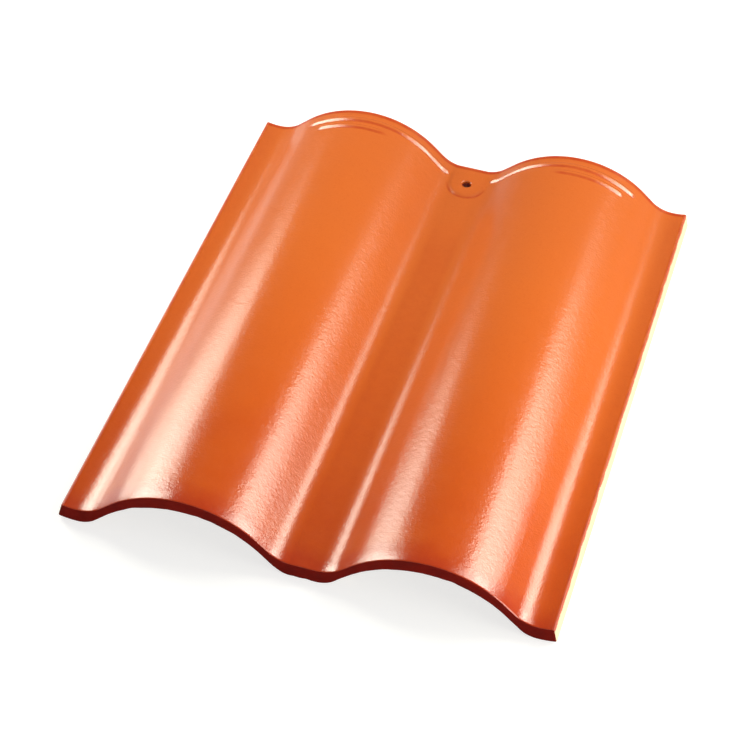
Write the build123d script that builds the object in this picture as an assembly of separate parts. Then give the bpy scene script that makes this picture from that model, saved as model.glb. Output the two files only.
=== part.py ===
from build123d import *

import math
import os

# A glazed clay roof tile, pressed and fired as one piece: two rolls, a middle pan and a half pan
# with an upturned lip along each side. X runs across the roof, Y up the slope from the eaves end
# to the head, and Z up. Lengths are in millimetres and angles in degrees.

# Plan size, the width taken over the lower corners of the side lips before they are rounded
TILE_LENGTH = 420.0
TILE_WIDTH = 330.0

# The wave of the upper face
PAN_FLAT = 16.0
ROLL_RISE = 31.5
FLANK_STRAIGHT = 10.0
FOOT_RADIUS = 23.0
LIP_REACH = 13.0
LIP_SLOPE = 14.0

# The clay, which is thinner over the rolls than in the pans
PAN_THICKNESS = 11.0
ROLL_THICKNESS = 9.6
UNDERSIDE_FOOT_RADIUS = 18.0
ARRIS_RADIUS = 1.2

# The nail boss in the middle pan, which keeps the hole above the running water
BOSS_HEIGHT = 2.0
BOSS_RADIUS = 13.5
BOSS_EDGE_RADIUS = 1.0
BOSS_DRAFT = 30.0
HEAD_TO_NAIL = 21.6
NAIL_HOLE = 7.0

# Two weather ribs over each roll, near the head
RIB_HEIGHT = 1.5
RIB_WIDTH = 3.6
RIB_EDGE_CHAMFER = 0.9
RIB_BOW = 2.0
HEAD_TO_OUTER_RIB = 10.8
RIB_SPACING = 8.4
BOSS_TO_OUTER_RIB = 4.5
CREST_TO_OUTER_RIB_END = 42.0
CREST_TO_INNER_RIB_START = 19.0
CREST_TO_INNER_RIB_END = 34.0

# The nib under the middle pan, which hooks over the batten
NIB_DEPTH = 12.0
NIB_WIDTH = 44.0
NIB_ROOT = 13.0
NIB_TIP = 9.0
NIB_END_DRAFT = 6.0
NIB_ROOT_RADIUS = 2.5

# How far a raised form reaches down into the clay that it grows from
ROOT_DEPTH = 3.0

HALF_ROLL = (TILE_WIDTH - PAN_FLAT - 2 * LIP_REACH) / 4
ROLL_CREST = PAN_FLAT / 2 + HALF_ROLL
OUTER_TROUGH = ROLL_CREST + HALF_ROLL
LIP_TURN = math.radians(LIP_SLOPE)
LIP_CENTRE_HEIGHT = LIP_REACH / math.sin(LIP_TURN)
NAIL_Y = TILE_LENGTH - HEAD_TO_NAIL
BEARING_FACE_Y = TILE_LENGTH - NIB_ROOT
ABOVE_ALL = 2 * (PAN_THICKNESS + ROLL_RISE)


def roll_steps(rise, foot_radius, outward):
    """Arcs and straights of one roll from trough to trough, moved outward by a fixed distance.

    Half a roll is a foot arc, a straight flank and half of the crest arc. The tangent of half the
    flank's slope is the rise divided by the half roll plus the straight, and the run that is left
    beside the foot arc and the straight gives the crest its radius.
    """
    slope = 2 * math.atan2(rise, HALF_ROLL + FLANK_STRAIGHT)
    both_radii = (HALF_ROLL - FLANK_STRAIGHT * math.cos(slope)) / math.sin(slope)
    turn = math.degrees(slope)
    foot = (foot_radius - outward, turn)
    flank = (FLANK_STRAIGHT, 0)
    crest = (both_radii - foot_radius + outward, -2 * turn)
    return [foot, flank, crest, flank, foot]


def wave(rise, foot_radius, trough_height, outward):
    """Edges from the left lip to the right one, each tangent to the one before it."""
    lip_radius = LIP_CENTRE_HEIGHT - trough_height - outward
    lip = (lip_radius, LIP_SLOPE)
    roll = roll_steps(rise, foot_radius, outward)
    point = Vector(-OUTER_TROUGH - lip_radius * math.sin(LIP_TURN),
                   LIP_CENTRE_HEIGHT - lip_radius * math.cos(LIP_TURN))
    heading = Vector(math.cos(LIP_TURN), -math.sin(LIP_TURN))
    edges = []
    for size, turn in [lip] + roll + [(PAN_FLAT, 0)] + roll + [lip]:
        if turn:
            edge = JernArc(point, heading, size, turn)
        else:
            edge = Line(point, point + heading * size)
        edges.append(edge)
        point = edge @ 1
        heading = edge % 1
    return edges


def upper_wave(outward=0.0):
    """The line of the upper face, or one that runs a fixed distance outside it."""
    return wave(ROLL_RISE, FOOT_RADIUS, PAN_THICKNESS, outward)


def under_wave(inward=0.0):
    """The line of the underside, or one that runs a fixed distance inside the clay."""
    rise = PAN_THICKNESS + ROLL_RISE - ROLL_THICKNESS
    return wave(rise, UNDERSIDE_FOOT_RADIUS, 0.0, inward)


def run_up_slope(outline):
    """A closed outline in X and Z, run from the eaves end to the head."""
    return extrude(Plane.XZ * make_face(outline), amount=TILE_LENGTH, dir=(0, 1, 0))


def run_between(lower, upper):
    """The space between two waves, run from the eaves end to the head."""
    left = Line(lower[0] @ 0, upper[0] @ 0)
    right = Line(lower[-1] @ 1, upper[-1] @ 1)
    return run_up_slope(lower + upper + [left, right])


def sheet():
    """The wavy body, with every arris slightly rounded."""
    solid = run_between(under_wave(), upper_wave())
    long_edges = solid.edges().filter_by(Axis.Y).sort_by(Axis.X)
    solid = fillet(long_edges[:2] + long_edges[-2:], ARRIS_RADIUS)
    by_y = solid.faces().sort_by(Axis.Y)
    return fillet(by_y[0].edges() + by_y[-1].edges(), ARRIS_RADIUS)


def boss():
    """The tab that runs down from the head and round the nail hole, with drafted sides.

    Its flat has the plan's sizes, and the drafted block is cut off flush with the head end.
    """
    full_height = ROOT_DEPTH + BOSS_HEIGHT
    radius = BOSS_RADIUS + full_height * math.tan(math.radians(BOSS_DRAFT))
    tab = Pos(0, NAIL_Y + HEAD_TO_NAIL) * Rectangle(2 * radius, 2 * HEAD_TO_NAIL)
    plan = tab + Pos(0, NAIL_Y) * Circle(radius)
    block = Pos(0, 0, PAN_THICKNESS - ROOT_DEPTH) * extrude(plan, amount=full_height, taper=BOSS_DRAFT)
    solid = block & Pos(0, NAIL_Y) * Box(4 * radius, 2 * HEAD_TO_NAIL, 2 * ABOVE_ALL)
    return fillet(solid.faces().sort_by(Axis.Z)[-1].edges(), BOSS_EDGE_RADIUS)


def rib(head_distance, start, end):
    """A weather rib: a strip bowed in plan, cut from a skin that stands on the upper face.

    Its middle line is an arc about the point that the outer rib's bow sets, so the ribs of a roll
    stay the same distance apart.
    """
    outer_start = BOSS_RADIUS + BOSS_TO_OUTER_RIB
    outer_end = ROLL_CREST + CREST_TO_OUTER_RIB_END
    half_span = (outer_end - outer_start) / 2
    bow_radius = (half_span ** 2 + RIB_BOW ** 2) / (2 * RIB_BOW)
    bow_x = outer_start + half_span
    bow_y = TILE_LENGTH - HEAD_TO_OUTER_RIB - bow_radius
    radius = TILE_LENGTH - head_distance - bow_y
    end_angle = math.degrees(math.acos((end - bow_x) / radius))
    start_angle = math.degrees(math.acos((start - bow_x) / radius))
    middle_line = CenterArc((bow_x, bow_y), radius, end_angle, start_angle - end_angle)
    strip = extrude(SlotArc(middle_line, RIB_WIDTH), amount=ABOVE_ALL)
    ridge = run_between(upper_wave(-ROOT_DEPTH), upper_wave(RIB_HEIGHT)) & strip
    crown = ridge.faces().filter_by(lambda face: face.normal_at().Z > 0.5)
    walls = ridge.faces().filter_by(lambda face: abs(face.normal_at().Z) < 0.01)
    return chamfer(crown.edges() & walls.edges(), RIB_EDGE_CHAMFER)


def roll_ribs():
    """The long outer rib and the short inner one of the right-hand roll."""
    outer = rib(HEAD_TO_OUTER_RIB,
                BOSS_RADIUS + BOSS_TO_OUTER_RIB,
                ROLL_CREST + CREST_TO_OUTER_RIB_END)
    inner = rib(HEAD_TO_OUTER_RIB + RIB_SPACING,
                ROLL_CREST - CREST_TO_INNER_RIB_START,
                ROLL_CREST + CREST_TO_INNER_RIB_END)
    return [outer, inner]


def nib_block():
    """The nib before it is trimmed to its width, with a strip of the clay that it stands on.

    The block runs under the whole wave, and its top follows the underside from a fixed distance
    inside the clay. The strip lets the root of the bearing face, which takes the load, be rounded.
    """
    root = under_wave(ROOT_DEPTH)
    below = Polyline(root[-1] @ 1, (OUTER_TROUGH, -NIB_DEPTH), (-OUTER_TROUGH, -NIB_DEPTH), root[0] @ 0)
    head_edge = BEARING_FACE_Y + NIB_TIP
    side = Polyline((TILE_LENGTH, ABOVE_ALL), (TILE_LENGTH, 0), (head_edge, -NIB_DEPTH),
                    (BEARING_FACE_Y, -NIB_DEPTH), (BEARING_FACE_Y, ABOVE_ALL), close=True)
    solid = run_up_slope(root + below.edges())
    solid &= extrude(Plane.YZ * make_face(side), amount=OUTER_TROUGH, both=True)
    strip = Pos(0, BEARING_FACE_Y) * Box(2 * OUTER_TROUGH, 4 * NIB_ROOT_RADIUS, 2 * ABOVE_ALL)
    solid += run_between(under_wave(), root) & strip
    face_edges = solid.edges().filter_by_position(Axis.Y, BEARING_FACE_Y, BEARING_FACE_Y)
    return fillet(face_edges.filter_by(lambda edge: edge.center().Z > -NIB_ROOT_RADIUS), NIB_ROOT_RADIUS)


def nib():
    """The batten nib: square on its bearing face, drawn in on the head side and at both ends."""
    draft = math.tan(math.radians(NIB_END_DRAFT))
    tip = NIB_WIDTH / 2 - NIB_DEPTH * draft
    top = NIB_WIDTH / 2 + ABOVE_ALL * draft
    front = Polyline((-top, ABOVE_ALL), (-tip, -NIB_DEPTH), (tip, -NIB_DEPTH), (top, ABOVE_ALL), close=True)
    solid = nib_block() & run_up_slope(front.edges())
    return fillet(solid.faces().sort_by(Axis.Z)[0].edges(), ARRIS_RADIUS)


def nail_hole():
    """The drill that clears the boss and the pan."""
    return Pos(0, NAIL_Y, -NIB_DEPTH) * extrude(Circle(NAIL_HOLE / 2), amount=ABOVE_ALL)


def fired_tile():
    """The whole tile, with the underside of its pans at height zero and its eaves end at Y zero."""
    solid = sheet() + nib() + boss()
    for ridge in roll_ribs():
        solid += ridge
        solid += mirror(ridge, Plane.YZ)
    return solid - nail_hole()


def laid_down(solid):
    """The tile as it lies on a level floor, on its eaves end and the nib, centred on the origin.

    Both touch with an arris of the same radius, so the tilt is the nib's depth over the distance
    from the eaves end to the bearing face.
    """
    tilt = math.degrees(math.atan2(NIB_DEPTH, BEARING_FACE_Y))
    tilted = Rot(tilt, 0, 0) * solid
    box = tilted.bounding_box()
    return Pos(-box.center().X, -box.center().Y, -box.min.Z) * tilted


roof_tile = laid_down(fired_tile())
os.makedirs("parts", exist_ok=True)
export_step(roof_tile, "parts/roof_tile.step")
print("roof_tile", round(roof_tile.volume / 1000, 1), "cm3", roof_tile.bounding_box().size)
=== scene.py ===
# %% [markdown]
# A glazed clay roof tile, of the double roll kind
# The real thing is one fired piece: clay is rolled to a sheet, pressed to two rolls with a pan
# between them, trimmed, dried, sprayed with glaze from above and fired. The packed model gives its
# true size and place. This lesson makes its skin, with the small roundings that the press and the
# glaze leave, then its finishes, and last a plain studio that lights it as in the photograph.

import math

import bmesh
import bpy
import numpy as np
from mathutils import Matrix, Vector


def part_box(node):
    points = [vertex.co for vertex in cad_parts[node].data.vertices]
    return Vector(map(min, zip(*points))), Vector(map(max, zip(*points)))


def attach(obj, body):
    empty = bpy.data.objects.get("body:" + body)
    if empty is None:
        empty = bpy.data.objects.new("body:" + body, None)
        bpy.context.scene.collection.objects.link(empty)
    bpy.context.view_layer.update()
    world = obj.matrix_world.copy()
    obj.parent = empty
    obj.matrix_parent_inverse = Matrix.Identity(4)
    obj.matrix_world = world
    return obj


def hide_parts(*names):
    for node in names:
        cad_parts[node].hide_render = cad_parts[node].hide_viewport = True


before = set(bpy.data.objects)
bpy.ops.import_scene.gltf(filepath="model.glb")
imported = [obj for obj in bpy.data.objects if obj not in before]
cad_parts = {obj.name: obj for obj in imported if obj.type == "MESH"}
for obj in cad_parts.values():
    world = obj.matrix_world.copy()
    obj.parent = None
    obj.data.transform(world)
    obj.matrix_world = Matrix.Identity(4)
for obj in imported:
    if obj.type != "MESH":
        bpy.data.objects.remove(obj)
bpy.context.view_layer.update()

# %% [markdown]
# The sizes
# A tile maker draws in millimetres, so the sizes below are in millimetres and the last step turns
# the points to metres. X runs across the roof, Y up the slope from the eaves end to the head, and
# Z up from the underside of the pans. These are the sizes that the packed model was made from. An
# arris is an edge between two faces, a lip is what turns up beyond the outer trough, and a rib's bow
# is how far its middle stands up the slope from its ends.

# %% Sizes in millimetres and degrees
TILE_LENGTH = 420.0
TILE_WIDTH = 330.0
PAN_FLAT = 16.0
ROLL_RISE = 31.5
FLANK_STRAIGHT = 10.0
FOOT_RADIUS = 23.0
UNDERSIDE_FOOT_RADIUS = 18.0
LIP_REACH = 13.0
LIP_SLOPE = 14.0
PAN_THICKNESS = 11.0
ROLL_THICKNESS = 9.6
ARRIS_RADIUS = 1.2
BOSS_HEIGHT = 2.0
BOSS_RADIUS = 13.5
HEAD_TO_NAIL = 21.6
NAIL_HOLE = 7.0
RIB_WIDTH = 3.6
RIB_BOW = 2.0
HEAD_TO_OUTER_RIB = 10.8
RIB_SPACING = 8.4
OUTER_RIB = (18.0, 122.0)
INNER_RIB = (61.0, 114.0)
NIB_DEPTH = 12.0
NIB_WIDTH = 44.0
NIB_ROOT = 13.0
NIB_TIP = 9.0
NIB_END_DRAFT = 6.0
NIB_ROOT_RADIUS = 2.5

HALF_ROLL = (TILE_WIDTH - PAN_FLAT - 2 * LIP_REACH) / 4
ROLL_CREST = PAN_FLAT / 2 + HALF_ROLL
OUTER_TROUGH = ROLL_CREST + HALF_ROLL
LIP_TURN = math.radians(LIP_SLOPE)
LIP_CENTRE = LIP_REACH / math.sin(LIP_TURN)
NAIL_Y = TILE_LENGTH - HEAD_TO_NAIL
BEARING_FACE = TILE_LENGTH - NIB_ROOT
print("half roll", HALF_ROLL, "crest at", ROLL_CREST, "outer trough at", OUTER_TROUGH)

# %% [markdown]
# The wave
# In section the upper face is a wave: level pan, foot arc, straight flank, crest arc and down
# again. It could be drawn with a few curve points, but the highlights on a glazed tile show every
# kink. Arcs that meet at the same slope give the smooth bands of light that the real one has, so
# the wave is a formula: its height and its slope at any x.

# %% The wave as a formula
def wave(x, rise, foot_radius):
    """Height above the troughs, and slope angle, at each x across the tile.

    The tangent of half the flank's slope is the rise divided by the half roll plus the straight.
    The run that is left beside the straight is shared by the foot arc and the crest arc. On an arc
    the height is the radius less the square root of radius squared less run squared.
    """
    slope = 2 * math.atan2(rise, HALF_ROLL + FLANK_STRAIGHT)
    both_radii = (HALF_ROLL - FLANK_STRAIGHT * math.cos(slope)) / math.sin(slope)
    crest_radius = both_radii - foot_radius
    crest_end = crest_radius * math.sin(slope)
    flank_end = crest_end + FLANK_STRAIGHT * math.cos(slope)
    run = np.abs(np.abs(x) - ROLL_CREST)
    left = np.clip(HALF_ROLL - run, 0, None)
    zones = [run < crest_end, run < flank_end, run < HALF_ROLL]
    crest = rise - crest_radius + np.sqrt(crest_radius**2 - np.minimum(run, crest_end) ** 2)
    flank_top = rise - crest_radius * (1 - math.cos(slope))
    flank = flank_top - (run - crest_end) * math.tan(slope)
    foot_run = np.minimum(left, foot_radius * math.sin(slope))
    foot = foot_radius - np.sqrt(foot_radius**2 - foot_run**2)
    height = np.select(zones, [crest, flank, foot], 0.0)
    crest_turn = np.arcsin(np.minimum(run, crest_end) / crest_radius)
    turn = np.select(zones, [crest_turn, slope, np.arcsin(foot_run / foot_radius)], 0.0)
    downhill = np.sign(x) * np.sign(np.abs(x) - ROLL_CREST)
    return height, -downhill * turn


crest_height, _ = wave(np.array([ROLL_CREST]), ROLL_RISE, FOOT_RADIUS)
print("crest rises", crest_height[0], "mm above the pan")

# %% [markdown]
# Where the points go
# The skin is a grid of points. It could be even, but half a millimetre everywhere would be millions
# of faces. Highlights need close columns on the rolls, and ribs, boss, hole and nib need close rows
# too, but the plain body is straight along the slope. So the spacing changes by stretches.

# %% Columns across and rows up the slope
HOLE_WINDOW = 5.0
WALL_LEAN = 0.12
RIB_END_MARGIN = 2.0
BOSS_MARGIN = 2.5
RIM_ROWS_REACH = 7.6
END_STEPS = 5


def stations(*stretches):
    """Positions along a line. Each stretch is its start and its step, and the last only its end.

    A stretch is divided evenly, into the fewest steps that are no longer than its own.
    """
    starts = [start for start, _ in stretches]
    pieces = []
    for (start, step), end in zip(stretches[:-1], starts[1:]):
        count = math.ceil((end - start) / step - 1e-9)
        pieces.append(np.linspace(start, end, count, endpoint=False))
    return np.append(np.concatenate(pieces), starts[-1])


nib_tip_half = NIB_WIDTH / 2 - NIB_DEPTH * math.tan(math.radians(NIB_END_DRAFT))
half_columns = stations((0, 0.5), (HOLE_WINDOW, 0.6), (nib_tip_half, 0.65), (NIB_WIDTH / 2, 1.2),
                        (INNER_RIB[0] - RIB_END_MARGIN, 0.6), (INNER_RIB[0] + RIB_END_MARGIN, 1.5),
                        (INNER_RIB[1] - RIB_END_MARGIN, 0.6), (OUTER_RIB[1] + RIB_END_MARGIN, 1.4),
                        (OUTER_TROUGH, 0))
columns = np.concatenate([-half_columns[:0:-1], half_columns])

bearing_edge = BEARING_FACE + WALL_LEAN
body_rows = stations((ARRIS_RADIUS, 8.7), (NAIL_Y - BOSS_RADIUS - BOSS_MARGIN, 0.55),
                     (NAIL_Y - HOLE_WINDOW, 0.36), (NAIL_Y + HOLE_WINDOW, 0.37),
                     (BEARING_FACE - NIB_ROOT_RADIUS, 0.36), (BEARING_FACE, WALL_LEAN),
                     (bearing_edge, 0.4), (bearing_edge + ARRIS_RADIUS, 0.36),
                     (TILE_LENGTH - RIM_ROWS_REACH, 0.9), (TILE_LENGTH - ARRIS_RADIUS, 0))


def at_both_ends(values):
    """Values for all rows: these at the rounded eaves end, 0 between, and reversed at the head."""
    return np.concatenate([values[:-1], 0 * body_rows, values[::-1][1:]])


quarter = np.linspace(0, math.pi / 2, END_STEPS)
turn_at_row = at_both_ends(quarter[::-1])
row_inset = at_both_ends(ARRIS_RADIUS * (1 - np.cos(quarter[::-1])))
end_run = ARRIS_RADIUS * (1 - np.sin(quarter[::-1]))
row_y = np.concatenate([end_run[:-1], body_rows, (TILE_LENGTH - end_run)[::-1][1:]])
print(len(columns), "columns and", len(row_y), "rows")

# %% [markdown]
# The section as a closed line
# Seen from the eaves the tile is a closed outline: the upper wave with a lip that turns up at each
# side, the trimmed side faces, and the underside. Each lip is an arc about a point high above the
# outer trough, so the side face, which lies on a line through that point, is square to both. Every
# point also gets its outward direction, which roundings and relief are measured on.

# %% Upper line, underside and side faces
LIP_STEPS = 8
CORNER_STEPS = 4
SIDE_STEPS = 5
UNDERSIDE_RISE = PAN_THICKNESS + ROLL_RISE - ROLL_THICKNESS
MIRROR = np.array([-1.0, 1.0])


def corner_place(radius):
    """Distance from the lip's centre, and turn, of the middle of a rounded corner of the section.

    The turn is the lip's own, less the angle whose sine is the arris radius over that distance.
    """
    return radius, LIP_TURN - math.asin(ARRIS_RADIUS / radius)


upper_corner = corner_place(LIP_CENTRE - PAN_THICKNESS + ARRIS_RADIUS)
under_corner = corner_place(LIP_CENTRE - ARRIS_RADIUS)


def face_line(rise, foot_radius, base, end_turn_of_lip):
    """Points and upward directions of the upper or the under line, from the left to the right.

    Between the outer troughs it is the wave. Beyond them a point turns about the lip's centre: its
    x is the radius times the sine of the turn, and its z the centre less radius times the cosine.
    """
    height, turn = wave(columns, rise, foot_radius)
    lip_turn = np.linspace(0, end_turn_of_lip, LIP_STEPS + 1)[1:]
    radius = LIP_CENTRE - base
    lip_x = OUTER_TROUGH + radius * np.sin(lip_turn)
    lip_z = LIP_CENTRE - radius * np.cos(lip_turn)
    x = np.concatenate([-lip_x[::-1], columns, lip_x])
    z = np.concatenate([lip_z[::-1], base + height, lip_z])
    angle = np.concatenate([-lip_turn[::-1], turn, lip_turn])
    return np.stack([x, z], 1), np.stack([-np.sin(angle), np.cos(angle)], 1)


def side_line():
    """Points and outward directions of the right side, from the upper face down to the underside.

    Two quarter roundings, each a circle about its corner place, with a straight face between them.
    """
    turns = [np.linspace(math.pi / 2 + upper_corner[1], LIP_TURN, CORNER_STEPS + 1),
             np.linspace(LIP_TURN, under_corner[1] - math.pi / 2, CORNER_STEPS + 1)]
    arcs = []
    for (distance, place), turn in zip((upper_corner, under_corner), turns):
        centre = np.array([OUTER_TROUGH + distance * math.sin(place),
                           LIP_CENTRE - distance * math.cos(place)])
        arcs.append(centre + ARRIS_RADIUS * np.stack([np.cos(turn), np.sin(turn)], 1))
    share = np.linspace(0, 1, SIDE_STEPS + 1)[1:-1, None]
    straight = arcs[0][-1] * (1 - share) + arcs[1][0] * share
    points = np.concatenate([arcs[0], straight, arcs[1]])
    angle = np.concatenate([turns[0], np.full(SIDE_STEPS - 1, LIP_TURN), turns[1]])
    return points, np.stack([np.cos(angle), np.sin(angle)], 1)


upper_line, upper_out = face_line(ROLL_RISE, FOOT_RADIUS, PAN_THICKNESS, upper_corner[1])
under_line, under_up = face_line(UNDERSIDE_RISE, UNDERSIDE_FOOT_RADIUS, 0.0, under_corner[1])
right_line, right_out = side_line()
left_line, left_out = right_line * MIRROR, right_out * MIRROR
print("seam between face and side:", np.abs(upper_line[-1] - right_line[0]).max(),
      np.abs(under_line[-1] - right_line[-1]).max())

# %% [markdown]
# Relief on the upper face
# Near the head two low ribs cross each roll, to keep driven rain out of the lap, and a flat boss
# round the nail hole stands above the water in the pan. They are pressed with the tile and glazed
# over, so they have soft crowns and feet and no seam. A separate body laid on the sheet would leave a
# hard line at its foot, so they are a height that is a formula of the place.

# %% Ribs and nail boss
RIB_FILLET = 1.1
RIB_CROWN = 0.95
INNER_FADE = (-3.0, 15.0)
BOSS_SOFTNESS = 2.5
BOSS_SINK = 0.85
BOSS_SINK_FROM = HOLE_WINDOW + 0.5
BOSS_SINK_OVER = 14.0
GLAZE_FILL = 0.5
BOSS_TOP = PAN_THICKNESS + BOSS_HEIGHT - GLAZE_FILL


def fade(value, none, full):
    """0 where the value is none, 1 where it is full, and soft between: three squares less two cubes."""
    share = np.clip((value - none) / (full - none), 0, 1)
    return share * share * (3 - 2 * share)


def rib_height(x, y, head_distance, ends):
    """Height of one pair of ribs above the wave.

    A rib's middle line is an arc about a point far down the slope, set by the outer rib's bow. The
    height falls with the distance from that arc, counted past its ends as well as across it: it is
    half the crown's height times one plus the cosine of the half turn that the share has made.
    """
    half_span = (OUTER_RIB[1] - OUTER_RIB[0]) / 2
    bow_radius = (half_span**2 + RIB_BOW**2) / (2 * RIB_BOW)
    bow_x = OUTER_RIB[0] + half_span
    bow_y = TILE_LENGTH - HEAD_TO_OUTER_RIB - bow_radius
    radius = TILE_LENGTH - head_distance - bow_y
    across = np.hypot(np.abs(x) - bow_x, y - bow_y) - radius
    beyond = np.maximum(np.maximum(ends[0] - np.abs(x), np.abs(x) - ends[1]), 0)
    share = np.minimum(np.hypot(across, beyond) / (RIB_WIDTH / 2 + RIB_FILLET), 1)
    return RIB_CROWN * (1 + np.cos(math.pi * share)) / 2


def all_ribs(x, y):
    """Height of both pairs of ribs above the wave. The inner pair fades in from its middle end."""
    outer = rib_height(x, y, HEAD_TO_OUTER_RIB, OUTER_RIB)
    inner = rib_height(x, y, HEAD_TO_OUTER_RIB + RIB_SPACING, INNER_RIB)
    return outer + inner * fade(np.abs(x) - INNER_RIB[0], *INNER_FADE)


def boss_share(x, y):
    """1 on the flat of the nail boss, 0 outside it, and between them a side that the glaze softens.

    The distance is counted from the nail down the slope, and from the middle line above the nail.
    """
    from_middle = np.where(y > NAIL_Y, np.abs(x), np.hypot(x, y - NAIL_Y))
    return fade(from_middle, BOSS_RADIUS + BOSS_SOFTNESS, BOSS_RADIUS - BOSS_SOFTNESS)


def boss_level(y):
    """Height of the boss's face: level round the hole, and sinking towards the pan at the head end."""
    sunk = fade(y - NAIL_Y, BOSS_SINK_FROM, BOSS_SINK_FROM + BOSS_SINK_OVER)
    return BOSS_TOP - BOSS_SINK * (BOSS_TOP - PAN_THICKNESS) * sunk


print("boss above the pan, in mm, at the nail", round(boss_level(NAIL_Y) - PAN_THICKNESS, 3),
      "and at the head", round(boss_level(TILE_LENGTH) - PAN_THICKNESS, 3))

# %% [markdown]
# Traces of the making
# A fired sheet is never quite true, and the blade that trims the eaves end leaves small nicks along
# its lower edge. Noise could move the points, but sine waves of unlike lengths look as irregular on
# one tile, and are easily kept on the clay's side of the true face.

# %% Unevenness and nicks
UNEVENNESS = 0.05
NICK_DEPTH = 0.22
NICK_REACH = 2.5


def unevenness(x, y):
    """A gentle sinking of the face, as a fired sheet has: four long sine waves, never above it."""
    waves = (np.sin(x / 17 + y / 41 + 1.3) + np.sin(y / 23 - x / 29 + 0.4)
             + np.sin(x / 9 - y / 60 + 2.2) + np.sin(y / 14 + x / 37 + 4.0))
    return UNEVENNESS * (waves / 4 - 1)


def trimmed_edge(x, y):
    """Depth of the nicks along the lower eaves edge: three sine waves, fading up the slope.

    Only the parts above nothing count, and the fading is e to the power of less y over its reach.
    """
    waves = np.sin(x / 1.9 + 2 * np.sin(x / 13)) + np.sin(x / 3.7 + 1.0) + np.sin(x / 8.3 + 2.6)
    return NICK_DEPTH * np.clip(waves, 0, None) * np.exp(-y / NICK_REACH)


print("deepest nick", round(float(trimmed_edge(columns, 0.0).max()), 3), "mm")

# %% [markdown]
# The nib underneath
# A batten nib hangs from the middle pan at the head: its square face bears on the batten, and the
# other three lean in so that the press lets go. It is a height too, taken downwards, made of one
# profile up the slope and one across. The bearing face leans by a tenth of a millimetre, which keeps
# its points apart.

# %% The nib as two profiles
NIB_BACK_EASE = 0.5
NIB_SIDE_EASE = 0.6
NIB_SIDE_SHARES = (1.0, 0.96, 0.04, 0.0)


def nib_share(x, y):
    """Share of the nib's depth at a place: the profile up the slope times the one across it.

    Up the slope it is a quarter circle at the root, the bearing face, a quarter circle at its edge,
    the level tip and the leaning back. Across it is level, then falls straight at the leaning end.
    """
    root_y = BEARING_FACE - NIB_ROOT_RADIUS * (1 - np.sin(quarter))
    root_depth = NIB_ROOT_RADIUS * (1 - np.cos(quarter))
    edge_y = bearing_edge + ARRIS_RADIUS * (1 - np.cos(quarter))
    edge_depth = NIB_DEPTH - ARRIS_RADIUS * (1 - np.sin(quarter))
    path_y = np.concatenate([root_y, edge_y, [BEARING_FACE + NIB_TIP - NIB_BACK_EASE, TILE_LENGTH]])
    depth = np.concatenate([root_depth, edge_depth, [NIB_DEPTH, 0.0]])
    up_the_slope = np.interp(y, path_y, depth / NIB_DEPTH, left=0.0)
    path_x = [nib_tip_half - NIB_SIDE_EASE, nib_tip_half, NIB_WIDTH / 2, NIB_WIDTH / 2 + NIB_SIDE_EASE]
    across = np.interp(np.abs(x), path_x, NIB_SIDE_SHARES)
    return up_the_slope * across


print("nib's depth at its tip", NIB_DEPTH * nib_share(0.0, bearing_edge + ARRIS_RADIUS), "mm")

# %% [markdown]
# The section carried up the slope
# The press rounds the tile's ends as it does its sides. The section could be swept and its ends
# bevelled. Here each row of points is the section once more, drawn in along its outward directions
# as the rounding asks, so that sides and ends share one formula.

# %% Points of the four faces
def face_points(line, out):
    """A line of the section carried up the slope, drawn in along its outward directions at the ends."""
    flat = line[None, :, :] - row_inset[:, None, None] * out[None, :, :]
    y = np.broadcast_to(row_y[:, None], flat.shape[:2])
    return np.stack([flat[..., 0], y, flat[..., 1]], 2)


upper = face_points(upper_line, upper_out)
under = face_points(under_line, -under_up)
right = face_points(right_line, right_out)
left = face_points(left_line, left_out)
print("points up and across: faces", upper.shape[:2], "sides", right.shape[:2])

# %% Relief above, nib and nicks below
LIP_KEPT_TRUE = 10.0


def between_lips(x):
    """1 over the rolls and pans, falling to 0 at the outer troughs, so that the sides stay true."""
    return np.clip((OUTER_TROUGH - np.abs(x)) / LIP_KEPT_TRUE, 0, 1)


x, y = upper[..., 0], upper[..., 1]
ribs = all_ribs(x, y)
boss = boss_share(x, y)
rise = ribs + between_lips(x) * unevenness(x, y)
boss_gap = boss_level(y) - upper_line[:, 1][None, :]
upper[..., 0] += (1 - boss) * rise * upper_out[:, 0]
upper[..., 2] += (1 - boss) * rise * upper_out[:, 1] + boss * np.maximum(boss_gap, 0)

x, y = under[..., 0], under[..., 1]
under[..., 2] -= nib_share(x, y) * (under_line[:, 1][None, :] + NIB_DEPTH)
under[..., 2] += between_lips(x) * trimmed_edge(x, y)
print("highest rib", ribs.max(), "deepest nib", under[..., 2].min())

# %% [markdown]
# The nail hole
# A Boolean cut would make the hole, but leave long thin faces in the boss. So a square window is left
# open in the grid, on the boss and under it, and a tube joins the two. Each ring of the tube has as
# many points as the window's edge. The outer rings pass from the square to the circle, and the
# others follow one profile: over the glazed edge, down the bore and out below.

# %% Rings of the nail hole
HOLE_EDGE = 0.8
HOLE_UNDER_EDGE = 0.4
BORE_STEPS = 8
PASSING_STEPS = 3


def window_of(grid):
    """Rows and columns where the window's edges lie in a face's grid of points."""
    column = [np.abs(grid[0, :, 0] - side * HOLE_WINDOW).argmin() for side in (-1, 1)]
    row = [np.abs(row_y - NAIL_Y - side * HOLE_WINDOW).argmin() for side in (-1, 1)]
    return row, column


def around(grid, row, column):
    """The edge of a window in a grid, once round from its first corner and back to it."""
    (r0, r1), (c0, c1) = row, column
    sides = [grid[r0, c0:c1], grid[r0:r1, c1], grid[r1, c1:c0:-1], grid[r1:r0:-1, c0]]
    return np.concatenate(sides + [grid[r0, c0:c0 + 1]])


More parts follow.
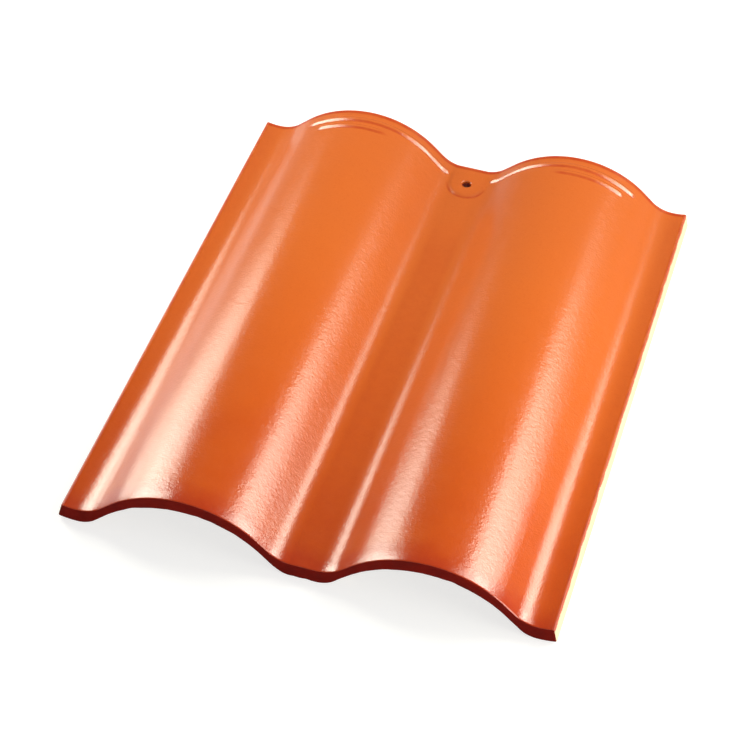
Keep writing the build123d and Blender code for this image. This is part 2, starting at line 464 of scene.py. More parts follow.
def hole_rings(upper_edge, under_edge):
    """Rings from the window on the boss, through the bore, to the window below.

    A ring is a circle about the nail's axis, at the radius and height of one point of the profile.
    A passing ring lies between the window's edge and the nearest circle.
    """
    radius = NAIL_HOLE / 2
    bore = np.linspace(BOSS_TOP - HOLE_EDGE, HOLE_UNDER_EDGE, BORE_STEPS + 1)[1:-1]
    reach = np.concatenate([radius + HOLE_EDGE * (1 - np.sin(quarter)), np.full(len(bore), radius),
                            radius + HOLE_UNDER_EDGE * (1 - np.cos(quarter))])
    height = np.concatenate([BOSS_TOP - HOLE_EDGE * (1 - np.cos(quarter)), bore,
                             HOLE_UNDER_EDGE * (1 - np.sin(quarter))])
    angle = np.arctan2(upper_edge[:, 1] - NAIL_Y, upper_edge[:, 0])
    circle = np.stack([np.cos(angle), np.sin(angle)], 1)
    rings = np.empty((len(reach), len(angle), 3))
    rings[..., :2] = reach[:, None, None] * circle + [0, NAIL_Y]
    rings[..., 2] = height[:, None]
    share = (np.arange(PASSING_STEPS) / PASSING_STEPS)[:, None, None]
    into = upper_edge * (1 - share) + rings[0] * share
    out_of = under_edge * (1 - share[::-1]) + rings[-1] * share[::-1]
    return np.concatenate([into, rings, out_of])


row, column = window_of(upper)
bore_rings = hole_rings(around(upper, row, column), around(under, row, column))
print("hole window", row, column, "and", bore_rings.shape[0], "rings of", bore_rings.shape[1] - 1)

# %% [markdown]
# The two end faces
# Each end is closed by straight columns from the upper edge to the lower one. They are divided as
# the side face is, so that the end's outermost columns are the side's own points. One large face
# would close it too, but would shade badly along the rounded edge.

# %% Points of the eaves end and the head end
def end_points(index):
    """Grid of an end face, from its upper edge down to its lower one.

    A point is the upper one times what is left of the side's share, plus the lower one times it.
    """
    side = right[index]
    step = np.linalg.norm(np.diff(side, axis=0), axis=1)
    share = np.concatenate([[0], np.cumsum(step)]) / step.sum()
    return upper[index] * (1 - share[:, None, None]) + under[index] * share[:, None, None]


eaves_end = end_points(0)
head_end = end_points(-1)
print("end face meets side to", np.abs(eaves_end[:, -1] - right[0]).max(), "mm")

# %% [markdown]
# Where the glaze lies thin or runs together, and painted shade
# Glaze draws back from the rims at the head and the sides. Before it dries it also runs down, and
# gathers below the ribs and the boss, and a little in the middle pan and on the lips, where it fires
# as red as a thin coat. The same darker red also paints shade there: on the near faces and feet of
# the ribs and the boss, which turn away from the light, and in the pan and on the lips. It could be
# painted on by hand, but worked out from the relief it lies exactly at its foot.

# %% Glaze that has run together, and painted shade
POOL_REACH = 1.5
RIB_UP_THE_SLOPE = (0.0, 0.7)
OFF_THE_CROWN = (0.85, 0.35)
ON_BOSS_FOOT, OFF_BOSS_TOP = (0.0, 0.15), (0.6, 0.3)
BELOW_NAIL = (0.0, 8.0)
PAN_SIDES = (PAN_FLAT / 2 + 6, PAN_FLAT / 2)
PAN_FROM_NAIL = (30.0, 90.0)
LIP_FROM_TROUGH = (-6.0, 4.0)
AT_RELIEF, IN_PAN, ON_LIP = 0.75, 0.25, 0.18


def glaze_pool_and_shade(x, y):
    """Share of run glaze and painted shade at each point: the largest of what relief, pan and lips hold
    there.

    Below a rib it lies where the place a little up the slope is on the rib and this one isn't on
    its crown, and at the boss where the boss's share is more than nothing but not yet a half.
    """
    rib_foot = fade(all_ribs(x, y + POOL_REACH), *RIB_UP_THE_SLOPE) * fade(ribs, *OFF_THE_CROWN)
    boss_foot = fade(boss, *ON_BOSS_FOOT) * fade(boss, *OFF_BOSS_TOP) * fade(NAIL_Y - y, *BELOW_NAIL)
    in_pan = fade(np.abs(x), *PAN_SIDES) * fade(NAIL_Y - y, *PAN_FROM_NAIL)
    on_lip = fade(np.abs(x) - OUTER_TROUGH, *LIP_FROM_TROUGH)
    return np.maximum(AT_RELIEF * np.maximum(rib_foot, boss_foot),
                      np.maximum(IN_PAN * in_pan, ON_LIP * on_lip))


# Darker red below the relief, in the pan and on the lips: part run glaze, part painted shade.
pool_and_shade = glaze_pool_and_shade(upper[..., 0], upper[..., 1])
print("run glaze at most", round(float(pool_and_shade.max()), 3), "on average", round(float(pool_and_shade.mean()), 3))

# %% [markdown]
# Where the glaze reaches
# Glaze is sprayed from above, so it covers the upper face and the eaves end, which shows on a roof.
# It stops just below the arris at the sides and at the head, and leaves the underside bare. Each
# point gets three numbers for the finishes to read: lap, how many millimetres it lies inside the
# glaze's edge (less than nothing on bare clay); nose, from 0 on the upper face to 1 on the eaves
# end, and near a half down the nail hole, where it paints the bore's shade dark; and arris, 1 where
# glaze is thinnest, on edges and rims, and less where it has run together. The arris mark is partly
# painted shade: it darkens the rounded arrises, the head's rim and the feet of the relief.

# %% Distances along the ends and rims
SIDE_LAP = 2.1
HEAD_LAP = 3.6
UNDERSIDE_LAP = 3.0
BORE_LAP = 9.0
FAR = 12.0
RIM_WIDTH = 3.8
HEAD_RIM = (RIM_WIDTH, RIM_WIDTH - 1.8)
SIDE_RIM = (RIM_WIDTH / 3, RIM_WIDTH / 3 - 0.9)
EAVES_ARRIS, HEAD_ARRIS = 0.5, 1.0
QUARTER_ARC = ARRIS_RADIUS * math.pi / 2

near_eaves = row_y < TILE_LENGTH / 2
eaves_arc = ARRIS_RADIUS * np.where(near_eaves, turn_at_row, 0)[:, None]
head_arc = ARRIS_RADIUS * np.where(near_eaves, 0, turn_at_row)[:, None]
from_eaves = np.maximum(row_y - ARRIS_RADIUS, 0)[:, None]
from_head = np.maximum(TILE_LENGTH - ARRIS_RADIUS - row_y, 0)[:, None]
nose_at_row = eaves_arc / QUARTER_ARC
# Redder on the rounded end arrises and along the head's rim: partly thin glaze, partly painted shade.
rounded = np.where(near_eaves, EAVES_ARRIS, HEAD_ARRIS) * np.sin(2 * turn_at_row)
arris_at_row = np.maximum(rounded[:, None], fade(from_head, *HEAD_RIM))

side_step = np.linalg.norm(np.diff(right_line, axis=0), axis=1)
down_side = np.concatenate([[0], np.cumsum(side_step)])[None, :]
to_side = np.maximum(upper_line[-1, 0] - np.abs(upper_line[:, 0]), 0)[None, :]
corner_turn = np.linspace(0, math.pi, CORNER_STEPS + 1)
arris_down_side = np.sin(np.concatenate([corner_turn, np.zeros(SIDE_STEPS - 1), corner_turn]))[None, :]
print("side face is", round(float(side_step.sum()), 2), "mm long over its roundings")

# %% Marks for the finishes
# Painted shade in the nail hole: below its rim the bore takes on the nose's dark colour.
BORE_PAINTED_SHADE = 0.49
BORE_PAINTED_SHADE_DEPTH = (0.5, 1.7)


def marks(lap, nose, arris, grid):
    """The three numbers of every point of a grid, with the lap kept within a short range."""
    parts = (np.clip(lap, -FAR, FAR), nose, arris)
    return np.stack([np.broadcast_to(part, grid.shape[:2]) for part in parts], 2)


head_lap = HEAD_LAP + from_head - head_arc
# Rims, side rims and run glaze in one mark: thin glaze and painted shade together.
thin_and_shaded = np.maximum(np.maximum(arris_at_row, fade(to_side, *SIDE_RIM)), pool_and_shade)
upper_marks = marks(np.minimum(SIDE_LAP + to_side, head_lap), nose_at_row, thin_and_shaded, upper)

side_lap = np.maximum(np.minimum(SIDE_LAP - down_side, head_lap), eaves_arc - ARRIS_RADIUS)
side_marks = marks(side_lap, nose_at_row, np.maximum(arris_down_side, arris_at_row), right)

under_lap = np.where(near_eaves[:, None], UNDERSIDE_LAP + eaves_arc - from_eaves, -FAR)
under_marks = marks(under_lap, 1.0, arris_at_row, under)

down_end = np.linalg.norm(head_end - head_end[:1], axis=2)
head_marks = marks(HEAD_LAP - QUARTER_ARC - down_end, 0.0, 0.0, head_end)
eaves_marks = marks(FAR, 1.0, 0.0, eaves_end)

down_bore = BOSS_TOP - bore_rings[..., 2]
bore_marks = marks(BORE_LAP - down_bore, BORE_PAINTED_SHADE * fade(down_bore, *BORE_PAINTED_SHADE_DEPTH), 0.0, bore_rings)
print("glaze covers", round(float((upper_marks[..., 0] > 0).mean()), 3), "of the upper face and",
      round(float((side_marks[..., 0] > 0).mean()), 3), "of a side")

# %% [markdown]
# From grids to one skin
# Faces are made from point numbers: four neighbours in a grid are one face. The grids are then
# welded where they meet, which also shrinks the corner roundings to the small balls that they are.
# A skin without a leak has two faces at every edge, and its volume is the tile's own.

# %% Faces of a grid
def grid_faces(numbers, flipped=False):
    """Four-sided faces between the neighbours of a grid of point numbers."""
    corners = [numbers[:-1, :-1], numbers[:-1, 1:], numbers[1:, 1:], numbers[1:, :-1]]
    faces = np.stack([corner.ravel() for corner in corners], 1)
    return faces[:, ::-1] if flipped else faces


def outside_window(numbers):
    """Which faces of a grid to keep: all of them, less those inside the nail hole's window."""
    (r0, r1), (c0, c1) = row, column
    kept = np.ones((numbers.shape[0] - 1, numbers.shape[1] - 1), bool)
    kept[r0:r1, c0:c1] = False
    return kept.ravel()


print("faces left out for the hole:", int((~outside_window(upper)).sum()))

# %% Gather the grids
GLAZED, NOSED, RIMMED = 0, 1, 2
NOSE_ROWS = 2
RIM_ROWS = END_STEPS

# A grid, its marks, whether its faces turn round, whether it has the window, and its finish
grids = [(upper, upper_marks, False, True, GLAZED),
         (under, under_marks, True, True, GLAZED),
         (right, side_marks, False, False, GLAZED),
         (left, side_marks, True, False, GLAZED),
         (eaves_end, eaves_marks, True, False, NOSED),
         (head_end, head_marks, False, False, RIMMED),
         (bore_rings, bore_marks, False, False, GLAZED)]
all_points, all_marks, all_faces, all_slots, first = [], [], [], [], 0
for grid, mark, flipped, windowed, slot in grids:
    numbers = first + np.arange(grid.shape[0] * grid.shape[1]).reshape(grid.shape[:2])
    slots = np.full((numbers.shape[0] - 1, numbers.shape[1] - 1), slot, np.int32)
    if len(numbers) == len(row_y):
        slots[:NOSE_ROWS] = NOSED
        slots[-RIM_ROWS:] = RIMMED
    kept = outside_window(numbers) if windowed else np.ones(slots.size, bool)
    all_faces.append(grid_faces(numbers, flipped)[kept])
    all_slots.append(slots.ravel()[kept])
    all_points.append(grid.reshape(-1, 3))
    all_marks.append(mark.reshape(-1, 3))
    first += numbers.size
points, point_marks, faces = (np.concatenate(part) for part in (all_points, all_marks, all_faces))
used, faces = np.unique(faces, return_inverse=True)
points, point_marks, faces = points[used], point_marks[used], faces.reshape(-1, 4)
print(len(points), "points and", len(faces), "faces before welding")

# %% [markdown]
# Lying down
# A loose tile lies on its nib and on the lower edge of its eaves end, so its head is a little raised.
# The object could be turned, but then its own axes would turn with it. The points are turned
# instead, and the object stays at the origin, where the packed model has its own.

# %% Lay the tile down
TILT = math.atan2(NIB_DEPTH, BEARING_FACE)
MM_IN_A_METRE = 1000

turn_down = np.array(Matrix.Rotation(TILT, 3, "X"))
cad_low, cad_high = (np.array(corner) * MM_IN_A_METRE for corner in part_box("roof_tile"))
turned = points @ turn_down.T
low, high = turned.min(0), turned.max(0)
shift = np.array([0, (cad_low[1] + cad_high[1] - low[1] - high[1]) / 2, cad_low[2] - low[2]])


def lay_down(place):
    """Points in the tile's own frame, turned to rest on its nib and eaves end, in metres."""
    return (np.asarray(place) @ turn_down.T + shift) / MM_IN_A_METRE


print("skin less packed tile, in mm:", np.round(high - low - (cad_high - cad_low), 3), "shift", shift)

# %% Make the mesh
WELD = 1e-6
SHARP_ANGLE = math.radians(40)
CM3_IN_A_M3 = 1e6
MARK_NAMES = ("lap", "nose", "arris")


def skin_object(name):
    """One closed mesh from the grids' points and faces, with the marks kept on its points."""
    mesh = bpy.data.meshes.new(name)
    mesh.from_pydata(lay_down(points), [], faces.tolist())
    for index, label in enumerate(MARK_NAMES):
        layer = mesh.attributes.new(label, "FLOAT", "POINT")
        layer.data.foreach_set("value", point_marks[:, index].astype(np.float32))
    mesh.polygons.foreach_set("material_index", np.concatenate(all_slots))
    shell = bmesh.new()
    shell.from_mesh(mesh)
    bmesh.ops.remove_doubles(shell, verts=shell.verts, dist=WELD)
    open_edges = sum(not edge.is_manifold for edge in shell.edges)
    volume = shell.calc_volume(signed=True) * CM3_IN_A_M3
    print("open edges", open_edges, "volume in cm3", round(volume, 2))
    shell.to_mesh(mesh)
    shell.free()
    mesh.shade_smooth()
    mesh.set_sharp_from_angle(angle=SHARP_ANGLE)
    made = bpy.data.objects.new(name, mesh)
    bpy.context.scene.collection.objects.link(made)
    mesh.calc_loop_triangles()
    print(name, len(mesh.vertices), "points,", len(mesh.loop_triangles), "triangles")
    return made


tile = skin_object("glazed_tile")

# %% [markdown]
# Finishes
# One fired piece carries several layers: buff clay, an orange glaze sprayed over it, and a dark
# red-brown dip at the eaves end. Each could be a sheet of its own, a hair above the last, but on the
# real tile they share one surface. So they are layers in a material: each has its colour, roughness
# and grain, and the points' marks say which lies on top. Patterns read the object's own place.

# %% A helper for nodes
MM = 0.001


def node(tree, kind, sockets=None, **settings):
    """A shader node with its settings. A socket is given a plain value or another node's output."""
    made = tree.nodes.new("ShaderNode" + kind)
    for name, value in settings.items():
        setattr(made, name, value)
    for name, value in (sockets or {}).items():
        if isinstance(value, bpy.types.NodeSocket):
            tree.links.new(value, made.inputs[name])
        else:
            made.inputs[name].default_value = value
    return made


def new_material(name):
    """A material with nodes: itself, its tree and its main shader."""
    material = bpy.data.materials.new(name)
    material.use_nodes = True
    return material, material.node_tree, material.node_tree.nodes["Principled BSDF"]


print("one millimetre is", MM, "m")

# %% Short ways to write patterns
MIDDLE = (0.3, 0.7)


class Pattern:
    """Short ways to write the nodes of one material; each gives back an output socket."""

    def __init__(self, tree):
        self.tree = tree
        self.place = node(tree, "TexCoord").outputs["Object"]

    def mark(self, name):
        """A number that was kept on the mesh's points."""
        return node(self.tree, "Attribute", attribute_name=name).outputs["Fac"]

    def up_the_slope(self):
        """The place's own Y, in metres."""
        return node(self.tree, "SeparateXYZ", {0: self.place}).outputs["Y"]

    def noise(self, size_mm, detail=2.0, stretch=(1, 1, 1)):
        """Soft noise from 0 to 1, with lumps of about this size."""
        scale = [part / (size_mm * MM) for part in stretch]
        mapped = node(self.tree, "Mapping", {"Vector": self.place, "Scale": scale})
        sockets = {"Vector": mapped.outputs[0], "Scale": 1.0, "Detail": detail}
        return node(self.tree, "TexNoise", sockets).outputs["Fac"]

    def specks(self, size_mm, detail, none, full, share):
        """0 where the noise is under the level none, and this share of 1 where it is over full."""
        return self.ramp(self.noise(size_mm, detail), none, full, 0.0, share)

    def layered_noise(self, layers):
        """Noises added up. A layer is its amount, then the size, detail and stretch of its noise."""
        total = None
        for amount, *noise in layers:
            layer = self.math("MULTIPLY", self.noise(*noise), amount)
            total = layer if total is None else self.math("ADD", total, layer)
        return total

    def math(self, operation, first, second=0.0, third=0.0):
        """Arithmetic on one, two or three numbers."""
        sockets = {0: first, 1: second, 2: third}
        return node(self.tree, "Math", sockets, operation=operation).outputs[0]

    def wander(self, value, size_mm, detail, amount):
        """The value moved up and down by noise: noise less a half, times the amount, added to it."""
        swing = self.math("SUBTRACT", self.noise(size_mm, detail), 0.5)
        return self.math("MULTIPLY_ADD", swing, amount, value)

    def ramp(self, value, low, high, start=0.0, end=1.0):
        """The value carried from the range low to high onto start to end, with soft ends."""
        sockets = {"Value": value, "From Min": low, "From Max": high, "To Min": start, "To Max": end}
        return node(self.tree, "MapRange", sockets, interpolation_type="SMOOTHSTEP").outputs[0]

    def blend(self, factor, first, second):
        """One colour over another."""
        made = node(self.tree, "Mix", {"Factor": factor}, data_type="RGBA", blend_type="MIX")
        for socket, value in zip((made.inputs[6], made.inputs[7]), (first, second)):
            if isinstance(value, bpy.types.NodeSocket):
                self.tree.links.new(value, socket)
            else:
                socket.default_value = (*value, 1)
        return made.outputs[2]

    def choose(self, factor, first, second):
        """One number over another."""
        return node(self.tree, "Mix", {0: factor, 2: first, 3: second}).outputs[0]

    def colours(self, value, stops):
        """A colour that passes through the stops, each a position and a colour."""
        made = node(self.tree, "ValToRGB", {"Fac": value})
        spots = made.color_ramp.elements
        for _ in stops[2:]:
            spots.new(1.0)
        for spot, (position, colour) in zip(spots, stops):
            spot.position = position
            spot.color = (*colour, 1)
        return made.outputs["Color"]

    def pebble(self, shader, height_mm):
        """The shader's surface raised and sunk by this many millimetres, for light alone."""
        bump = node(self.tree, "Bump", {"Height": height_mm, "Distance": MM})
        self.tree.links.new(bump.outputs["Normal"], shader.inputs["Normal"])


print("a pattern has", [name for name in vars(Pattern) if name[0] != "_"])

# %% [markdown]
# The glaze
# The glaze melts to a glossy orange coat, paler near the head and redder down the slope, with faint
# clouds and fine specks, and redder still where it thins over an arris. The change along the slope
# is partly the glaze's own and partly painted shade, deepest in a red band painted along the eaves
# end. A picture of a tile could give all that, but would bring its own light. A ramp of colours along
# the slope, moved about by noise, gives the slow change, and the arris mark gives the thin places
# and the painted shade at rims and below the relief.

# %% Colour of the glaze
# The colour's stops are partly the glaze's own tone and partly painted shade, darker to the eaves end.
GLAZE_AND_SHADE_BY_SLOPE = [(0.0, (0.56, 0.080, 0.007)), (0.16, (0.61, 0.104, 0.010)),
                  (0.4, (0.63, 0.122, 0.015)), (0.7, (0.63, 0.134, 0.020)),
                  (1.0, (0.59, 0.130, 0.024))]
# Painted shade: a deeper red for the last few centimetres of the eaves end, with its band and share.
GLAZE_PAINTED_SHADE = (0.42, 0.026, 0.005)
GLAZE_THIN_AND_SHADE = (0.44, 0.040, 0.010)
GLAZE_PALE = (0.92, 0.24, 0.05)
SLOPE_ENDS = (-0.21, 0.21)
PAINTED_SHADE_BAND = (-0.212, -0.186)
PAINTED_SHADE_SHARE = 0.75
GLAZE_SPECKS = (1.4, 2, 0.54, 0.72, 0.13)
PALE_SPECKS = (2.3, 2, 0.60, 0.80, 0.07)
THIN_AND_SHADE_SHARES = (0.6, 0.9)


def glaze_colour(p):
    """Orange, redder to the eaves end partly by painted shade, with clouds, specks and thin, shaded
    arrises.
    """
    height = p.up_the_slope()
    clouded = p.wander(p.ramp(height, *SLOPE_ENDS), 34, 3, 0.22)
    colour = p.colours(clouded, GLAZE_AND_SHADE_BY_SLOPE)
    # Painted shade: the deeper red band along the eaves end, fading up the slope.
    painted_eaves_shade = p.ramp(p.wander(height, 16, 3, 0.02), *PAINTED_SHADE_BAND, PAINTED_SHADE_SHARE, 0.0)
    colour = p.blend(painted_eaves_shade, colour, GLAZE_PAINTED_SHADE)
    colour = p.blend(p.specks(*GLAZE_SPECKS), colour, GLAZE_THIN_AND_SHADE)
    colour = p.blend(p.specks(*PALE_SPECKS), colour, GLAZE_PALE)
    # Painted shade and thin glaze: the arris mark turns the glaze redder at rims, arrises and relief
    # feet.
    thin_and_shaded = p.math("MULTIPLY", p.mark("arris"), p.ramp(p.noise(6, 2), *MIDDLE, *THIN_AND_SHADE_SHARES))
    return p.blend(thin_and_shaded, colour, GLAZE_THIN_AND_SHADE)


print("glaze at the eaves", GLAZE_AND_SHADE_BY_SLOPE[0][1], "and at the head", GLAZE_AND_SHADE_BY_SLOPE[-1][1])

# %% [markdown]
# The dipped nose and the bare clay
# The eaves end is dipped in coloured clay that fires dark red-brown and nearly matt. Where no coat
# reaches, the fired body shows: buff and dry, drawn out along the slope where the sheet was rolled,
# with darker and paler grit. One plain colour each would look like plastic. Clouds of one size and
# specks of another are what the eye takes for clay.

# %% Colours of the nose and of the clay
NOSE = (0.20, 0.0085, 0.0050)
NOSE_BROWN = (0.16, 0.0075, 0.0050)
NOSE_PALE = (0.28, 0.020, 0.010)
CLAY = [(0.25, (0.68, 0.52, 0.34)), (0.5, (0.76, 0.60, 0.41)), (0.8, (0.82, 0.69, 0.50))]
CLAY_GRAIN = [(0.6, 14, 4, (1, 0.3, 1)), (0.4, 0.9, 3)]
CLAY_GRIT = (0.45, 0.24, 0.11)
NOSE_CLOUDS = (0.35, 0.7)
NOSE_SPECKS = (1.1, 2, 0.62, 0.8, 0.25)
CLAY_SPECKS = (0.7, 1, 0.66, 0.74, 0.55)


def nose_colour(p):
    """Dark red-brown, a little browner in clouds and paler in fine specks."""
    colour = p.blend(p.ramp(p.noise(9, 3), *NOSE_CLOUDS), NOSE, NOSE_BROWN)
    return p.blend(p.specks(*NOSE_SPECKS), colour, NOSE_PALE)


def clay_colour(p):
    """Buff clay with soft clouds, drawn out along the slope, and darker and paler grit."""
    colour = p.colours(p.layered_noise(CLAY_GRAIN), CLAY)
    return p.blend(p.specks(*CLAY_SPECKS), colour, CLAY_GRIT)


print("nose", NOSE, "and clay from", CLAY[0][1], "to", CLAY[-1][1])

# %% [markdown]
# Layers, gloss and peel
# A melted glaze is smooth but never level. It is pebbled like orange peel, at one, two and five
# millimetres, and that breaks the bands of light into a soft shimmer. Pebbles in the mesh would need
# millions of faces, so they are bump. The glaze's edge on the sides is ragged, as a spray leaves it,
# and dry. At the head's rim the coat is so thin that it hardly shines: that is the same material once
# more with less shine, because shine is one number on the shader, where the exported model keeps it.

# %% The layered material
GLAZE_IOR = 1.75
GLAZE_ROUGHNESS = (0.20, 0.24)
CLAY_ROUGHNESS = (0.82, 0.95)
NOSE_IS_ROUGHER = 0.3
DRY_EDGE = (1.4, 3.2)
DRY_IS_ROUGHER = 0.30
GLAZE_EDGE = (-0.15, 0.15)
NOSE_EDGE = (0.42, 0.52)
PEEL = [(0.08, 1.1, 1), (0.08, 2.2, 1, (0.75, 1.2, 1)), (0.11, 4.5, 2)]
GRIT = [(0.09, 0.8, 3), (0.10, 4, 3, (1, 0.25, 1))]
GLAZE_THICKNESS = 0.06
EDGE_WAVES = (0.2, 0.8)


def ragged_edge(p):
    """Millimetres by which the glaze's edge wanders: broad waves and small ones."""
    broad = p.ramp(p.noise(11, 2), *EDGE_WAVES, -0.7, 0.7)
    return p.math("ADD", broad, p.ramp(p.noise(1.6, 2), *EDGE_WAVES, -0.4, 0.4))


def glazed_clay(name, shine, dryness):
    """The layers in order: bare clay, glaze with its ragged edge, and the nose over the glaze.

    The glaze lies where the lap mark plus the edge's wander is above nothing.
    """
    material, tree, shader = new_material(name)
    shader.inputs["IOR"].default_value = GLAZE_IOR
    shader.inputs["Specular IOR Level"].default_value = shine
    p = Pattern(tree)
    glazed = p.ramp(p.math("ADD", p.mark("lap"), ragged_edge(p)), *GLAZE_EDGE)
    nosed = p.ramp(p.wander(p.mark("nose"), 2.5, 2, 0.25), *NOSE_EDGE)
    coat = p.blend(nosed, glaze_colour(p), nose_colour(p))
    tree.links.new(p.blend(glazed, clay_colour(p), coat), shader.inputs["Base Color"])
    gloss = p.ramp(p.noise(7, 3), *MIDDLE, *GLAZE_ROUGHNESS)
    rough = p.math("MULTIPLY_ADD", nosed, NOSE_IS_ROUGHER, gloss)
    dry = p.math("ADD", p.ramp(p.mark("lap"), *DRY_EDGE, DRY_IS_ROUGHER, 0.0), dryness)
    matt = p.ramp(p.noise(3, 3), *MIDDLE, *CLAY_ROUGHNESS)
    tree.links.new(p.choose(glazed, matt, p.math("ADD", rough, dry)), shader.inputs["Roughness"])
    peel = p.math("ADD", p.layered_noise(PEEL), GLAZE_THICKNESS)
    p.pebble(shader, p.choose(glazed, p.layered_noise(GRIT), peel))
    return material


full_glaze = glazed_clay("glazed_clay", shine=0.5, dryness=0.0)
thin_glaze = glazed_clay("thin_glaze", shine=0.12, dryness=0.25)
print("nodes in the layered material:", len(full_glaze.node_tree.nodes))

# %% [markdown]
# The end's own material
# The eaves end stands steep, so with the glaze's shine it would mirror the pale floor, and its dark
# coat would look pink. A mark can't take the shine away, so the end has its own material: the same
# dark colour, nearly matt, with the clay's fine grit in it.

# %% Material of the dipped end, and all three on the tile
NOSE_SHINE = 0.05
NOSE_ROUGHNESS = (0.60, 0.75)
NOSE_GRIT = [(0.10, 0.9, 3), (0.12, 4, 2)]


def dark_nose():
    """The dipped eaves end: dark red-brown clouds and specks, a rough coat and two sizes of grit."""
    material, tree, shader = new_material("dark_nose")
    shader.inputs["Specular IOR Level"].default_value = NOSE_SHINE
    p = Pattern(tree)
    tree.links.new(nose_colour(p), shader.inputs["Base Color"])
    tree.links.new(p.ramp(p.noise(4, 3), *MIDDLE, *NOSE_ROUGHNESS), shader.inputs["Roughness"])
    p.pebble(shader, p.layered_noise(NOSE_GRIT))
    return material


for material in (full_glaze, dark_nose(), thin_glaze):
    tile.data.materials.append(material)
print("finishes on the tile:", [material.name for material in tile.data.materials])

# %% [markdown]
# The camera
# A product photograph is taken from well back with a long lens, so that the tile keeps its shape.
# Its place was worked out from the tile's corners and edges in the photograph. It could be a plain
# place and three turns, but how far round and up it stands, how far it leans, how far off it is and
# how far it is moved across its view are easier to picture.

# %% Camera
CAMERA_AZIMUTH = math.radians(13.909)
CAMERA_ELEVATION = math.radians(43.954)
CAMERA_ROLL = math.radians(3.701)
CAMERA_DISTANCE = 1522.9
LOOK_ACROSS, LOOK_UP = 45.58, 128.86
LENS = 115.98
SENSOR = 36.0


def aim_camera():
    """A camera that looks at the tile's lower middle, placed by its turns in the tile's own frame.

    Its back direction is the elevation's cosine along the ground and its sine upwards.
    """
    azimuth, elevation, roll = CAMERA_AZIMUTH, CAMERA_ELEVATION, CAMERA_ROLL
    back = np.array([math.sin(azimuth) * math.cos(elevation),
                     -math.cos(azimuth) * math.cos(elevation), math.sin(elevation)])
    level = np.array([math.cos(azimuth), math.sin(azimuth), 0])
    raised = np.cross(back, level)
    across = math.cos(roll) * level + math.sin(roll) * raised
    upright = math.cos(roll) * raised - math.sin(roll) * level
    centre = CAMERA_DISTANCE * back + LOOK_ACROSS * across + LOOK_UP * upright
    data = bpy.data.cameras.new("camera")
    data.sensor_width = SENSOR
    data.lens = LENS
    made = bpy.data.objects.new("camera", data)
    axes = turn_down @ np.stack([across, upright, back], 1)
    made.matrix_world = Matrix.Translation(lay_down(centre)) @ Matrix(axes.tolist()).to_4x4()
    bpy.context.scene.collection.objects.link(made)
    bpy.context.scene.camera = made
    return made


camera = aim_camera()
print("camera at", [round(part, 3) for part in camera.matrix_world.translation], "m")

# %% [markdown]
# Floor and backdrop
# The tile lies on white paper. Lamps that make paper white would bleach the tile, so the paper is
# grey and adds light of its own, but only on rays of the camera or of a reflection: the open floor
# is white and keeps the tile's soft shadow. Behind the head the paper darkens for lamps and
# reflections, though the camera still sees white, as if it ended there in a dim room. The world is a
# dim band at the horizon under a darker room. That keeps the glaze deep and its highlights clear.

# %% Floor
FLOOR_REACH = 4.0
FLOOR_GREY = (0.42, 0.424, 0.435)
FAR_GREY = (0.10, 0.101, 0.104)
FLOOR_GLOW = 0.70
FAR_GLOW = 1.0
FAR_REFLECTED_LESS = 0.95
PAPER_FADES = (0.28, 0.42)
WHITE = (1, 1, 1, 1)


def seen_directly(p, reflected=1.0):
    """1 on rays of the camera or through glass, this share on a reflection's, and 0 on the rest."""
    path = node(p.tree, "LightPath").outputs
    glossy = p.math("MULTIPLY", path["Is Glossy Ray"], reflected)
    either = p.math("MAXIMUM", path["Is Camera Ray"], glossy)
    return p.math("MAXIMUM", either, path["Is Transmission Ray"])


def paper_floor():
    """A large square of white paper under the tile, with its far part darker in reflections.

    Its glow is what is seen directly times a strength, which passes from the near to the far one.
    """
    reach = FLOOR_REACH
    mesh = bpy.data.meshes.new("floor")
    corners = [(-reach, -reach, 0), (reach, -reach, 0), (reach, reach, 0), (-reach, reach, 0)]
    mesh.from_pydata(corners, [], [(0, 1, 2, 3)])
    made = bpy.data.objects.new("floor", mesh)
    bpy.context.scene.collection.objects.link(made)
    paper, tree, shader = new_material("white_paper")
    shader.inputs["Roughness"].default_value = 1.0
    shader.inputs["Specular IOR Level"].default_value = 0.0
    shader.inputs["Emission Color"].default_value = WHITE
    p = Pattern(tree)
    far = p.ramp(p.up_the_slope(), *PAPER_FADES)
    tree.links.new(p.blend(far, FLOOR_GREY, FAR_GREY), shader.inputs["Base Color"])
    seen = seen_directly(p, p.math("MULTIPLY_ADD", far, -FAR_REFLECTED_LESS, 1.0))
    glow = p.math("MULTIPLY_ADD", far, FAR_GLOW - FLOOR_GLOW, FLOOR_GLOW)
    tree.links.new(p.math("MULTIPLY", seen, glow), shader.inputs["Emission Strength"])
    mesh.materials.append(paper)
    return made


floor = paper_floor()
print("floor", 2 * FLOOR_REACH, "m wide, and it fades between", PAPER_FADES, "m up the slope")

# %% World
AMBIENT = 0.24
HORIZON = 0.35
ROOM = 0.05
HORIZON_BAND = (0.03, 0.16)


def studio_world():
    """Even soft light for matt surfaces, and for reflections a dim horizon under a darker room."""
    world = bpy.data.worlds.new("studio")
    world.use_nodes = True
    tree = world.node_tree
    p = Pattern(tree)
    rise = node(tree, "SeparateXYZ", {0: node(tree, "TexCoord").outputs["Generated"]}).outputs["Z"]
    strength = p.choose(seen_directly(p), AMBIENT, p.ramp(rise, *HORIZON_BAND, HORIZON, ROOM))
    background = tree.nodes["Background"].inputs
    background["Color"].default_value = WHITE
    tree.links.new(strength, background["Strength"])
    bpy.context.scene.world = world
    return world


print("world:", studio_world().name, "with soft light of", AMBIENT)

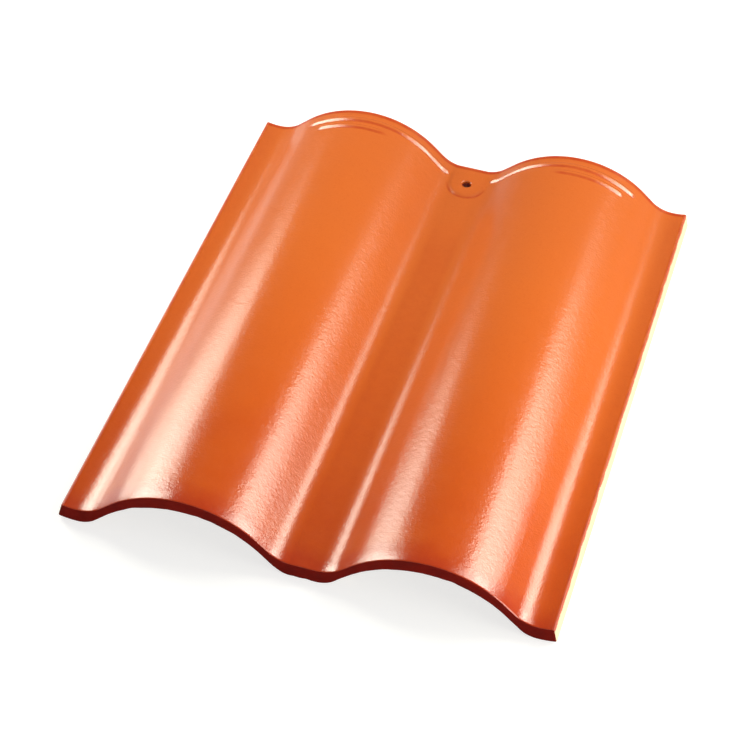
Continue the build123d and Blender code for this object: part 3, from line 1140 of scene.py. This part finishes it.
# %% [markdown]
# Lamps
# Small lamps would leave hard dots in the glaze, so every lamp is a softbox. A roll's flank mirrors
# what stands beyond the tile's head on its own side. The long boxes there draw a band of light down
# every flank that faces them, and a thin one in every foot. They are pairs: the band's lower part
# mirrors the near box and its upper part the far one, so it changes up the slope as in the
# photograph. A dim box low at the left widens the bands there at the eaves, and two strips, high up
# and turned to the tile, draw the lines on the ribs. The last two light the eaves end and the side.

# %% Softboxes
LAMP_COLOUR = (1.0, 0.97, 0.82)
LEFT_ALONG = (0, 0.697, 0.717)
RIGHT_ALONG = (0, 0.732, 0.682)

# Name, middle, the way it faces, its long direction, size across and along, and radiance
LAMPS = [
    ("left_near", (-0.70, 0.309, 0.478), (1, 0, 0), LEFT_ALONG, (0.225, 0.76), 2.6),
    ("left_far", (-0.70, 0.471, 0.322), (1, 0, 0), LEFT_ALONG, (0.225, 0.76), 5.5),
    ("left_low", (-0.70, 0.42, 0.13), (1, 0, 0), (0, 1, 0), (0.20, 0.30), 0.5),
    ("right_near", (0.70, 0.548, 0.857), (-1, 0, 0), RIGHT_ALONG, (0.21, 1.07), 9.0),
    ("right_far", (0.70, 0.692, 0.703), (-1, 0, 0), RIGHT_ALONG, (0.21, 1.07), 6.2),
    ("left_strip", (-0.76, 0.32, 0.60), (0.78, -0.15, -0.61), (0.66, -0.15, 0.73), (0.32, 0.55), 9.0),
    ("right_strip", (0.61, 0.24, 0.78), (-0.60, -0.05, -0.80), (-0.80, -0.03, 0.60), (0.32, 0.50), 6.6),
    ("front_fill", (0, -1.00, 0.20), (0, 1, -0.15), (1, 0, 0), (0.90, 0.30), 3.0),
    ("side_fill", (0.75, -0.25, 0.25), (-1, 0.2, -0.1), (0, 1, 0), (0.40, 0.50), 7.2),
]


def softbox(name, centre, facing, along, size, radiance):
    """A flat soft lamp that the camera doesn't see.

    Power is radiance times area times pi, so a larger box of the same radiance lights more.
    """
    data = bpy.data.lights.new(name, "AREA")
    data.shape = "RECTANGLE"
    data.size, data.size_y = size
    data.energy = radiance * math.pi * size[0] * size[1]
    data.color = LAMP_COLOUR
    back = -Vector(facing).normalized()
    across = Vector(along).cross(back).normalized()
    axes = Matrix((across, back.cross(across), back)).transposed()
    made = bpy.data.objects.new(name, data)
    made.matrix_world = Matrix.Translation(centre) @ axes.to_4x4()
    made.visible_camera = False
    bpy.context.scene.collection.objects.link(made)
    return data.energy


powers = [softbox(*lamp) for lamp in LAMPS]
print(len(powers), "softboxes, together", round(sum(powers), 2), "W")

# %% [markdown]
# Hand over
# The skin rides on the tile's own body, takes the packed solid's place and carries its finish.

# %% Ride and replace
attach(tile, "root")
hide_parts("roof_tile")
bpy.context.scene.view_settings.view_transform = "Standard"
